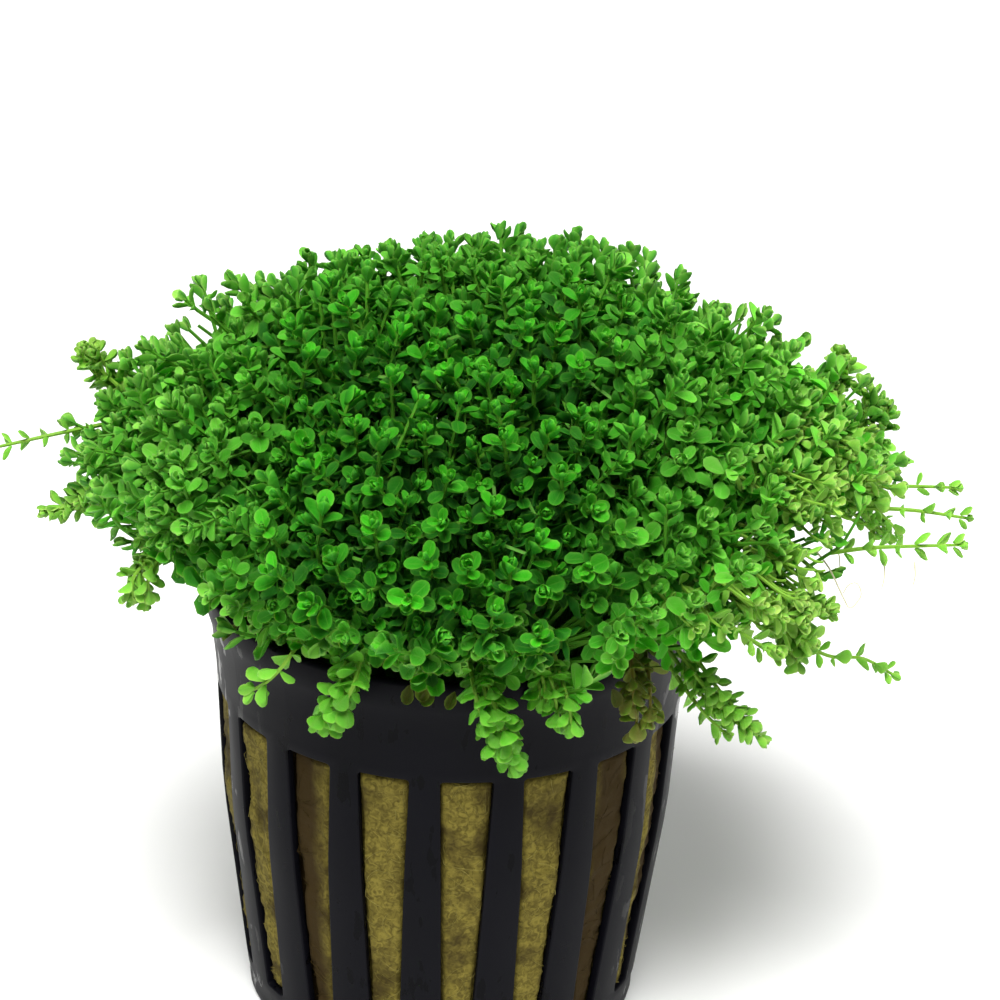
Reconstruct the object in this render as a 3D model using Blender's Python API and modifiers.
"""Dwarf baby tears growing in a small slotted net pot, from a plug of rock wool.

Everything is in metres, +Z up. The origin is the centre of the pot's underside, and -Y is the front.
The pot, the rock wool, the leafy cushion and each shoot that leaves the cushion are pieces of their own.
"""

import math
import random

import bmesh
import bpy
from mathutils import Matrix, Vector, noise

# Pot: a turned shell with one row of upright slots.
POT_HEIGHT = 0.051
LIP_RADIUS = 0.0275
BAND_RADIUS = 0.0260
BASE_RADIUS = 0.0220
WALL = 0.0011
BASE_THICKNESS = 0.0014
EDGE = 0.0006
LIP_HEIGHT = 0.0022
NECK_DROP = 0.0052
BAND_DROP = 0.0105
ROUND_STEPS = 36
SLOT_COUNT = 18
SLOT_TOP = 0.0386
SLOT_BOTTOM = 0.0045
SLOT_WIDTH_TOP = 0.0057
SLOT_WIDTH_BOTTOM = 0.0032
FRONT_SLOT_TURN = math.radians(5.6)
DRAIN_COUNT = 8
DRAIN_WIDTH = 0.0028
DRAIN_INNER_RADIUS = 0.0070
DRAIN_OUTER_RADIUS = 0.0175

# Rock wool: a plug that fills the pot up to a little under its lip.
WOOL_TOP = 0.0450
WOOL_SLACK = 0.0006
WOOL_ROUGHNESS = 0.0002
WOOL_LUMP = 0.0040
WOOL_TOP_RING = 0.0130
WOOL_STEPS = 24

# Gap that two touching pieces keep, a wider one where the surface is lumpy, and the distance to weld points.
GAP = 0.0004
LUMPY_GAP = 0.0006
WELD = 0.00001

# Leafy cushion: how far it spreads and how low it hangs, every 45 degrees round from the right.
# Each row is the radius at the widest level, that level, and the level of its lower edge at the pot.
CUSHION_TOP = 0.0840
CUSHION_CROWN_SHIFT = 0.0060
CUSHION_SPREAD = (
    (0.0465, 0.0625, 0.0500),
    (0.0450, 0.0605, 0.0490),
    (0.0410, 0.0615, 0.0490),
    (0.0400, 0.0615, 0.0490),
    (0.0405, 0.0615, 0.0490),
    (0.0385, 0.0590, 0.0500),
    (0.0385, 0.0570, 0.0510),
    (0.0430, 0.0560, 0.0515),
)
CUSHION_FOOT_RADIUS = 0.0270
CUSHION_BOTTOM = 0.0460
LAST_POLAR = math.radians(117)
LUMP_COUNT = 142
LUMP_HEIGHT = 0.0010
LUMP_VALLEY = 0.0022
CROWN_VALLEY = 0.0042
TIP_COUNT = 74
TIP_LAST_POLAR = math.radians(100)
TIP_LEAF = 0.0038
TIP_STAND = 0.0026
TIP_ROOT = 0.0115
TIP_TO_SHOOT = 0.0052
GOLDEN_TURN = math.pi * (3 - math.sqrt(5))

# Shoots that leave the cushion: pairs of leaves, leaf length, and points of the stem from root to tip.
STEM_RADIUS = 0.00045
SHOOTS = {
    "left_runner": (
        3, 0.0021, ((-0.0375, 0.005, 0.0652), (-0.0430, 0.001, 0.0654), (-0.0497, 0, 0.0639),
                    (-0.0527, 0, 0.0631))),
    "left_upper_shoot": (
        3, 0.0028, ((-0.0345, 0.0060, 0.0660), (-0.0395, 0.0060, 0.0706), (-0.0408, 0.0050, 0.0741))),
    "left_low_shoot": (
        2, 0.0028, ((-0.0370, -0.002, 0.0612), (-0.0416, -0.004, 0.0593), (-0.0442, -0.005, 0.0587))),
    "left_hanging_shoot": (
        3, 0.0026, ((-0.0300, -0.0110, 0.0585), (-0.0325, -0.0150, 0.0570), (-0.0323, -0.0150, 0.0528))),
    "front_left_runner": (
        2, 0.0028, ((-0.0140, -0.025, 0.0567), (-0.0160, -0.0300, 0.0549), (-0.0180, -0.0300, 0.0522),
                    (-0.0200, -0.0285, 0.0500))),
    "front_left_hanging_shoot": (
        4, 0.0034, ((-0.0100, -0.0250, 0.0560), (-0.0105, -0.0305, 0.0535), (-0.0119, -0.0300, 0.0498),
                    (-0.0130, -0.0290, 0.0466))),
    "front_hanging_shoot": (
        4, 0.0034, ((0.0030, -0.0260, 0.0550), (0.0042, -0.0310, 0.0515), (0.0059, -0.0305, 0.0469),
                    (0.0074, -0.0295, 0.0428))),
    "front_hanging_side_shoot": (
        2, 0.0030, ((0.0095, -0.025, 0.0550), (0.0110, -0.0310, 0.0528), (0.0118, -0.0310, 0.0486))),
    "old_brown_shoot": (
        3, 0.0030, ((0.0190, -0.018, 0.0540), (0.0198, -0.0230, 0.0505), (0.0200, -0.0240, 0.0470),
                    (0.0200, -0.0235, 0.0440))),
    "lower_right_shoot": (
        4, 0.0030, ((0.0240, -0.0190, 0.0520), (0.0272, -0.0220, 0.0487), (0.0303, -0.0230, 0.0458),
                    (0.0334, -0.0235, 0.0440))),
    "lower_right_runner": (
        4, 0.0022, ((0.0315, -0.0100, 0.0550), (0.0396, -0.0100, 0.0479), (0.0446, -0.0100, 0.0472),
                    (0.0480, -0.0100, 0.0454))),
    "right_runner_high": (
        3, 0.0019, ((0.0420, 0.0010, 0.0624), (0.0480, 0.0010, 0.0628), (0.0516, 0.0010, 0.0629),
                    (0.0545, 0.0010, 0.0629))),
    "right_runner_middle": (
        2, 0.0018, ((0.0420, -0.0085, 0.0643), (0.0485, -0.0090, 0.0645), (0.0546, -0.0090, 0.0638))),
    "right_runner_low": (
        3, 0.0022, ((0.0400, -0.0120, 0.0605), (0.0436, -0.0135, 0.0619), (0.0470, -0.0145, 0.0627),
                    (0.0534, -0.0150, 0.0634))),
    "right_upper_shoot": (
        3, 0.0028, ((0.0390, 0.0120, 0.0675), (0.0419, 0.0120, 0.0710), (0.0416, 0.0120, 0.0740))),
    "right_edge_shoot": (
        3, 0.0025, ((0.0410, 0.0050, 0.0655), (0.0452, 0.0050, 0.0683), (0.0447, 0.0050, 0.0724))),
    "right_skirt_shoot": (
        3, 0.0030, ((0.0330, -0.0180, 0.0576), (0.0358, -0.0200, 0.0554), (0.0365, -0.0205, 0.0513))),
    "right_outer_skirt_shoot": (
        3, 0.0022, ((0.0385, -0.0045, 0.0636), (0.0428, -0.0045, 0.0632), (0.0458, -0.0045, 0.0609),
                    (0.0472, -0.0045, 0.0590))),
    "back_hanging_shoot": (
        3, 0.0030, ((0.0060, 0.034, 0.0570), (0.0065, 0.0385, 0.0545), (0.0070, 0.0370, 0.0490))),
    "back_right_runner": (
        3, 0.0026, ((0.0270, 0.027, 0.0600), (0.0330, 0.0330, 0.0590), (0.0355, 0.0350, 0.0555))),
}

# Finishes: colour, roughness.
FINISHES = {
    "pot_plastic": ((0.014, 0.014, 0.019), 0.38),
    "rock_wool": ((0.185, 0.145, 0.050), 0.95),
    "leaf": ((0.045, 0.250, 0.022), 0.45),
    "runner_leaf": ((0.140, 0.400, 0.050), 0.45),
    "old_leaf": ((0.210, 0.170, 0.050), 0.60),
}


def clear_scene():
    for old in list(bpy.data.objects):
        bpy.data.objects.remove(old, do_unlink=True)


def new_collection(name):
    collection = bpy.data.collections.new(name)
    bpy.context.scene.collection.children.link(collection)
    return collection


def finish(name):
    """The material of this name, made once."""
    made = bpy.data.materials.get(name)
    if made is None:
        colour, roughness = FINISHES[name]
        made = bpy.data.materials.new(name)
        made.use_nodes = True
        shader = made.node_tree.nodes["Principled BSDF"]
        shader.inputs["Base Color"].default_value = (*colour, 1)
        shader.inputs["Roughness"].default_value = roughness
        shader.inputs["Metallic"].default_value = 0
    return made


def add_object(name, bm, collection):
    mesh = bpy.data.meshes.new(name)
    bm.to_mesh(mesh)
    bm.free()
    made = bpy.data.objects.new(name, mesh)
    collection.objects.link(made)
    return made


def add_cutter(name, bm):
    made = add_object(name, bm, cutters)
    made.hide_render = True
    made.display_type = "WIRE"
    return made


def add_boolean(target, other, operation):
    step = target.modifiers.new(f"{operation.lower()}_{other.name}", "BOOLEAN")
    step.operation = operation
    step.object = other
    step.solver = "EXACT"
    step.use_self = operation == "UNION"


def turned(name, profile, collection, steps=ROUND_STEPS, closed=False):
    """A profile of (radius, height) points turned round the Z axis."""
    bm = bmesh.new()
    points = [bm.verts.new((radius, 0, height)) for radius, height in profile]
    for first, second in zip(points, points[1:] + points[:1] if closed else points[1:]):
        bm.edges.new((first, second))
    made = add_object(name, bm, collection)
    screw = made.modifiers.new("turn", "SCREW")
    screw.steps = screw.render_steps = steps
    screw.use_merge_vertices = True
    screw.merge_threshold = WELD
    return made


def as_mesh(made):
    """Replaces an object by one with the mesh that its modifiers give, doubled points welded."""
    bpy.context.view_layer.update()
    graph = bpy.context.evaluated_depsgraph_get()
    mesh = bpy.data.meshes.new_from_object(made.evaluated_get(graph))
    bm = bmesh.new()
    bm.from_mesh(mesh)
    bmesh.ops.remove_doubles(bm, verts=bm.verts, dist=WELD)
    bm.to_mesh(mesh)
    bm.free()
    name, home, place = made.name, made.users_collection[0], made.matrix_world.copy()
    bpy.data.objects.remove(made, do_unlink=True)
    fresh = bpy.data.objects.new(name, mesh)
    fresh.matrix_world = place
    home.objects.link(fresh)
    return fresh


def smooth_shaded(made, finish_name, sharp_degrees=35):
    made.data.materials.clear()
    made.data.materials.append(finish(finish_name))
    made.data.shade_smooth()
    made.data.set_sharp_from_angle(angle=math.radians(sharp_degrees))


# Pot

def wall_profile():
    """The outer wall from the lip down to the base, as (radius, height)."""
    return [
        (LIP_RADIUS, POT_HEIGHT - EDGE),
        (LIP_RADIUS, POT_HEIGHT - LIP_HEIGHT),
        (BAND_RADIUS + EDGE, POT_HEIGHT - NECK_DROP),
        (BAND_RADIUS, POT_HEIGHT - BAND_DROP),
        ((BAND_RADIUS + BASE_RADIUS) / 2 + 2 * EDGE, POT_HEIGHT / 2),
        (BASE_RADIUS, EDGE),
    ]


def outer_radius(height):
    """The outer wall's radius at a height, read off its profile."""
    rows = wall_profile()
    for (high_radius, high), (low_radius, low) in zip(rows, rows[1:]):
        if low <= height <= high:
            return low_radius + (high_radius - low_radius) * (height - low) / (high - low)
    return rows[0][0] if height > rows[0][1] else rows[-1][0]


def inner_profile():
    """The inner wall from just above the floor up to the lip."""
    wall = [(radius - WALL, height) for radius, height in reversed(wall_profile()[2:-1])]
    return wall + [(LIP_RADIUS - WALL, POT_HEIGHT - EDGE / 3)]


def slot_cutter(bm, turn):
    """One tapering box across the wall, narrower at its foot."""
    made = bmesh.ops.create_cube(bm, size=1)["verts"]
    for vertex in made:
        height, width = (SLOT_TOP, SLOT_WIDTH_TOP) if vertex.co.z > 0 else (SLOT_BOTTOM, SLOT_WIDTH_BOTTOM)
        middle = outer_radius(height) - WALL / 2
        vertex.co = Vector((middle + 4 * WALL * vertex.co.x, width * vertex.co.y, height))
    bmesh.ops.rotate(bm, verts=made, matrix=Matrix.Rotation(turn, 3, "Z"))


def drain_cutter(bm, turn):
    """One short slot through the base."""
    length = DRAIN_OUTER_RADIUS - DRAIN_INNER_RADIUS
    made = bmesh.ops.create_cube(bm, size=1)["verts"]
    bmesh.ops.scale(bm, verts=made, vec=(length, DRAIN_WIDTH, 4 * BASE_THICKNESS))
    bmesh.ops.translate(bm, verts=made, vec=(DRAIN_INNER_RADIUS + length / 2, 0, 0))
    bmesh.ops.rotate(bm, verts=made, matrix=Matrix.Rotation(turn, 3, "Z"))


def build_pot():
    floor = [(0, BASE_THICKNESS), (BASE_RADIUS - WALL, BASE_THICKNESS)]
    lip = [(LIP_RADIUS - WALL / 2, POT_HEIGHT)]
    foot = [(BASE_RADIUS - EDGE, 0), (0, 0)]
    pot = turned("net_pot", floor + inner_profile() + lip + wall_profile() + foot, object_parts)
    slots = bmesh.new()
    for index in range(SLOT_COUNT):
        slot_cutter(slots, -math.pi / 2 + FRONT_SLOT_TURN + index * math.tau / SLOT_COUNT)
    add_boolean(pot, add_cutter("slot_cutters", slots), "DIFFERENCE")
    drains = bmesh.new()
    for index in range(DRAIN_COUNT):
        drain_cutter(drains, index * math.tau / DRAIN_COUNT)
    add_boolean(pot, add_cutter("drain_cutters", drains), "DIFFERENCE")
    pot = as_mesh(pot)
    smooth_shaded(pot, "pot_plastic")
    return pot


def build_pot_room():
    """The wall grown by the gap on every side, which everything that touches the pot is cut by."""
    outer = [(radius + GAP, height) for radius, height in wall_profile()[:-1]]
    inner = [(radius - GAP, height) for radius, height in inner_profile()[:-1]]
    over_lip = [(LIP_RADIUS - WALL - GAP, POT_HEIGHT + GAP), (LIP_RADIUS + GAP, POT_HEIGHT + GAP)]
    room = as_mesh(turned("pot_room", inner + over_lip + outer, cutters, closed=True))
    room.hide_render = True
    room.display_type = "WIRE"
    return room


# Rock wool

def build_rock_wool():
    """A plug that follows the inside of the pot, with the slightly uneven face of pressed fibre."""
    bottom = BASE_THICKNESS + GAP
    bends = [height for _, height in wall_profile() if bottom < height < WOOL_TOP]
    heights = [WOOL_TOP, *bends, bends[-1] / 2, bottom]
    side = [(outer_radius(height) - WALL - WOOL_SLACK, height) for height in heights]
    top = [(0, WOOL_TOP), (WOOL_TOP_RING, WOOL_TOP)]
    wool = as_mesh(turned("rock_wool", top + side + [(0, bottom)], object_parts, steps=WOOL_STEPS))
    for vertex in wool.data.vertices:
        flat = Vector((vertex.co.x, vertex.co.y, 0))
        if flat.length > 0.001:
            vertex.co += flat.normalized() * WOOL_ROUGHNESS * noise.noise(vertex.co / WOOL_LUMP)
        if vertex.co.z > WOOL_TOP - WELD:
            vertex.co.z += WOOL_ROUGHNESS * noise.noise(vertex.co / WOOL_LUMP)
    smooth_shaded(wool, "rock_wool")
    return wool


# Leafy cushion

def spread(azimuth):
    """Radius, widest level and lower edge at this azimuth, eased between the rows of CUSHION_SPREAD."""
    rows = len(CUSHION_SPREAD)
    place = (azimuth % math.tau) / math.tau * rows
    index = int(place) % rows
    ease = (1 - math.cos(math.pi * (place - int(place)))) / 2
    here, there = CUSHION_SPREAD[index], CUSHION_SPREAD[(index + 1) % rows]
    return [a + (b - a) * ease for a, b in zip(here, there)]


def cushion_point(azimuth, polar):
    """A point of the cushion's mean surface: a dome above the widest level, and an underside that runs in."""
    radius, level, foot = spread(azimuth)
    if polar <= math.pi / 2:
        out = radius * math.sin(polar)
        up = level + (CUSHION_TOP - level) * math.cos(polar)
        shift = CUSHION_CROWN_SHIFT * math.cos(polar) ** 2
    else:
        fall = (polar - math.pi / 2) / (LAST_POLAR - math.pi / 2)
        out = radius - (radius - CUSHION_FOOT_RADIUS) * fall**1.4
        up = level - (level - foot) * fall**0.8
        shift = 0
    return Vector((out * math.cos(azimuth) + shift, out * math.sin(azimuth), up))


def cushion_normal(azimuth, polar):
    """The outward direction there, from two short steps along the surface."""
    step = 0.02
    polar = min(max(polar, 2 * step), LAST_POLAR - step)
    down = cushion_point(azimuth, polar + step) - cushion_point(azimuth, polar - step)
    round_it = cushion_point(azimuth + step, polar) - cushion_point(azimuth - step, polar)
    return down.cross(round_it).normalized()


def spiral(count, last_polar):
    """Evenly spread (azimuth, polar) places from the top down."""
    for index in range(count):
        height = 1 - (1 - math.cos(last_polar)) * (index + 0.5) / count
        yield index * GOLDEN_TURN, math.acos(height)


def cushion_body(raised):
    """The lumpy dome: a point on each lump, a low point between each three, all moved out by raised.

    The gaps between the lumps are deepest at the crown, where the shoots stand upright and apart.
    """
    seeded = random.Random(11)
    bm = bmesh.new()
    outward = {}
    for azimuth, polar in spiral(LUMP_COUNT, LAST_POLAR):
        height = LUMP_HEIGHT * seeded.uniform(-0.6, 1.0)
        flat = math.sin(polar)
        direction = (flat * math.cos(azimuth), flat * math.sin(azimuth), math.cos(polar))
        outward[bm.verts.new(direction)] = height
    bmesh.ops.convex_hull(bm, input=bm.verts)
    bm.normal_update()
    lid = math.cos(LAST_POLAR) + 0.02
    upper = [face for face in bm.faces if face.calc_center_median().z > lid]
    for vertex in bmesh.ops.poke(bm, faces=upper)["verts"]:
        outward[vertex] = -LUMP_VALLEY - CROWN_VALLEY * max(0, vertex.co.normalized().z)
    for vertex, height in outward.items():
        direction = vertex.co.normalized()
        azimuth, polar = math.atan2(direction.y, direction.x), math.acos(direction.z)
        fade = min(1, max(0, (LAST_POLAR - polar) / math.radians(14)))
        vertex.co = cushion_point(azimuth, polar) + cushion_normal(azimuth, polar) * (height * fade + raised)
        vertex.co.z = max(vertex.co.z, CUSHION_BOTTOM - raised)
    bmesh.ops.recalc_face_normals(bm, faces=bm.faces)
    return bm


def add_tuft(bm, place, length, root):
    """Adds four blunt leaves held like a shallow cup on a short stem that runs down to its root."""
    edges, waist = [], []
    for index in range(4):
        turn = place @ Matrix.Rotation(index * math.tau / 4, 4, "Z")
        for aside in (-0.38, 0.38):
            edges.append(bm.verts.new(turn @ Vector((0.88 * length, aside * length, 0.30 * length))))
        edges.append(bm.verts.new(turn @ Vector((0.20 * length, 0.20 * length, 0.05 * length))))
        waist.append(bm.verts.new(turn @ Vector((0.12 * length, -0.12 * length, -0.22 * length))))
    heart = bm.verts.new(place @ Vector((0, 0, 0.10 * length)))
    tail = bm.verts.new(place @ Vector((0, 0, -root)))
    for first, second in zip(edges, edges[1:] + edges[:1]):
        bm.faces.new((heart, first, second))
    for index in range(4):
        inner, left = edges[3 * index - 1], edges[3 * index]
        right, outer = edges[3 * index + 1], edges[3 * index + 2]
        below, beside = waist[index], waist[(index + 1) % 4]
        bm.faces.new((inner, below, left))
        bm.faces.new((left, below, beside, right))
        bm.faces.new((right, beside, outer))
        bm.faces.new((tail, beside, below))


def frame_at(point, along, spin):
    """A matrix that stands a whorl at a point, facing along a direction and turned round it."""
    facing = along.to_track_quat("Z", "Y").to_matrix().to_4x4()
    return Matrix.Translation(point) @ facing @ Matrix.Rotation(spin, 4, "Z")


def build_cushion(pot_room):
    """The lumpy body with leafy shoot tips grown out of it, cut clear of the pot."""
    seeded = random.Random(23)
    cushion = add_object("leafy_cushion", cushion_body(0), object_parts)
    stems = [Vector(point) for _, _, route in SHOOTS.values() for point in route]
    tips = bmesh.new()
    for azimuth, polar in spiral(TIP_COUNT, TIP_LAST_POLAR):
        spin, size, stand = seeded.uniform(0, math.pi), seeded.uniform(0.85, 1.1), seeded.uniform(0.4, 1.6)
        normal = cushion_normal(azimuth, polar)
        centre = cushion_point(azimuth, polar) + normal * TIP_STAND * stand
        if min((centre - point).length for point in stems) < TIP_TO_SHOOT:
            continue
        growth = (normal + Vector((0, 0, 0.35))).normalized()
        add_tuft(tips, frame_at(centre, growth, spin), TIP_LEAF * size, TIP_ROOT)
    add_boolean(cushion, add_cutter("cushion_tips", tips), "UNION")
    add_boolean(cushion, pot_room, "DIFFERENCE")
    cushion = largest_body(as_mesh(cushion))
    smooth_shaded(cushion, "leaf", 50)
    return cushion


# Shoots

def smooth_curve(points, shares):
    """Points and directions at these shares of the length of a smooth curve (Catmull-Rom)."""
    points = [Vector(point) for point in points]
    padded = [2 * points[0] - points[1], *points, 2 * points[-1] - points[-2]]
    dense = []
    for a, b, c, d in zip(padded, padded[1:], padded[2:], padded[3:]):
        for step in range(12):
            t = step / 12
            dense.append(0.5 * (2 * b + (c - a) * t + (2 * a - 5 * b + 4 * c - d) * t**2
                                + (3 * b - a - 3 * c + d) * t**3))
    dense.append(points[-1])
    lengths = [0]
    for first, second in zip(dense, dense[1:]):
        lengths.append(lengths[-1] + (second - first).length)
    places = []
    for share in shares:
        wanted = share * lengths[-1]
        index = max(i for i, length in enumerate(lengths[:-1]) if length <= wanted + 1e-9)
        part = (wanted - lengths[index]) / (lengths[index + 1] - lengths[index])
        direction = (dense[index + 1] - dense[index]).normalized()
        places.append((dense[index].lerp(dense[index + 1], part), direction))
    return places, lengths[-1]


def stem_ring(radius):
    """Eight points round a stem."""
    return [Vector((radius, 0, 0)) @ Matrix.Rotation(-index * math.tau / 8, 3, "Z") for index in range(8)]


def leaf_ring(leaves, length, radius):
    """Eight points round a stem, drawn out into two opposite leaves, or into four small ones."""
    ring = stem_ring(radius)
    if leaves == 4:
        for index in range(0, 8, 2):
            ring[index] = ring[index].normalized() * length + Vector((0, 0, 0.4 * length))
        return ring
    for index in (0, 4):
        ring[index] = ring[index].normalized() * length + Vector((0, 0, 0.30 * length))
    for index, forward in ((1, 1), (7, 1), (3, -1), (5, -1)):
        aside = math.copysign(0.38 * length, ring[index].y)
        ring[index] = Vector((forward * 0.66 * length, aside, 0.16 * length))
    return ring


def shoot_rings(route, pairs, leaf):
    """The stem's rings from root to tip: below, at and above each pair of leaves, then the tuft."""
    _, length = smooth_curve(route, [0])
    tuft_leaf = 0.8 * leaf
    rings = [(0, stem_ring(STEM_RADIUS), 0)]
    for index in range(pairs):
        share = 0.34 + 0.50 * index / max(1, pairs - 1)
        radius = STEM_RADIUS * (1 - 0.3 * share)
        turn = index * math.pi / 2
        rings.append((share - 0.22 * leaf / length, stem_ring(radius), turn))
        rings.append((share, leaf_ring(2, leaf, radius), turn))
        rings.append((share + 0.12 * leaf / length, stem_ring(radius), turn))
    turn = pairs * math.pi / 2
    rings.append((1 - 0.30 * tuft_leaf / length, stem_ring(0.7 * STEM_RADIUS), turn))
    rings.append((1, leaf_ring(4, tuft_leaf, 0.7 * STEM_RADIUS), turn))
    return rings


def largest_body(made):
    """Removes the crumbs that a cut leaves beside the main body."""
    bm = bmesh.new()
    bm.from_mesh(made.data)
    left, bodies = set(bm.verts), []
    while left:
        body, edge = set(), {next(iter(left))}
        while edge:
            body |= edge
            edge = {other for vertex in edge for link in vertex.link_edges for other in link.verts} - body
        bodies.append(body)
        left -= body
    largest = max(bodies, key=len)
    bmesh.ops.delete(bm, geom=[vertex for vertex in bm.verts if vertex not in largest], context="VERTS")
    bm.to_mesh(made.data)
    bm.free()
    return made


def build_shoot(name, pairs, leaf, route, pot_room, cushion_room):
    """A stem with crossed pairs of leaves and a tuft at its tip, lofted ring by ring along its route."""
    rings = shoot_rings(route, pairs, leaf)
    places, _ = smooth_curve(route, [share for share, _, _ in rings])
    bm = bmesh.new()
    side, loops = Vector((0, 0, 1)), []
    for (_, ring, turn), (point, along) in zip(rings, places):
        side = (side - along * side.dot(along)).normalized()
        place = Matrix((side, along.cross(side), along)).transposed() @ Matrix.Rotation(turn, 3, "Z")
        loops.append([bm.verts.new(point + place @ corner) for corner in ring])
        last_turn = round(turn / (math.tau / 8))
        loops[-1] = loops[-1][-last_turn % 8:] + loops[-1][:-last_turn % 8]
    for lower, upper in zip(loops, loops[1:]):
        for index in range(8):
            after = (index + 1) % 8
            bm.faces.new((lower[index], lower[after], upper[after], upper[index]))
    bm.faces.new(list(reversed(loops[0])))
    tip = bm.verts.new(places[-1][0] + places[-1][1] * 0.3 * leaf)
    for index in range(8):
        bm.faces.new((loops[-1][index], loops[-1][(index + 1) % 8], tip))
    bmesh.ops.triangulate(bm, faces=bm.faces)
    shoot = add_object(name, bm, object_parts)
    add_boolean(shoot, pot_room, "DIFFERENCE")
    add_boolean(shoot, cushion_room, "DIFFERENCE")
    shoot = largest_body(as_mesh(shoot))
    smooth_shaded(shoot, "old_leaf" if name == "old_brown_shoot" else "runner_leaf", 50)
    return shoot


clear_scene()
object_parts = new_collection("potted_dwarf_baby_tears")
cutters = new_collection("cutters")
build_pot()
build_rock_wool()
pot_room = build_pot_room()
cushion_room = add_cutter("cushion_room", cushion_body(LUMPY_GAP))
build_cushion(pot_room)
for shoot_name, (pair_count, leaf_length, stem_route) in SHOOTS.items():
    build_shoot(shoot_name, pair_count, leaf_length, stem_route, pot_room, cushion_room)
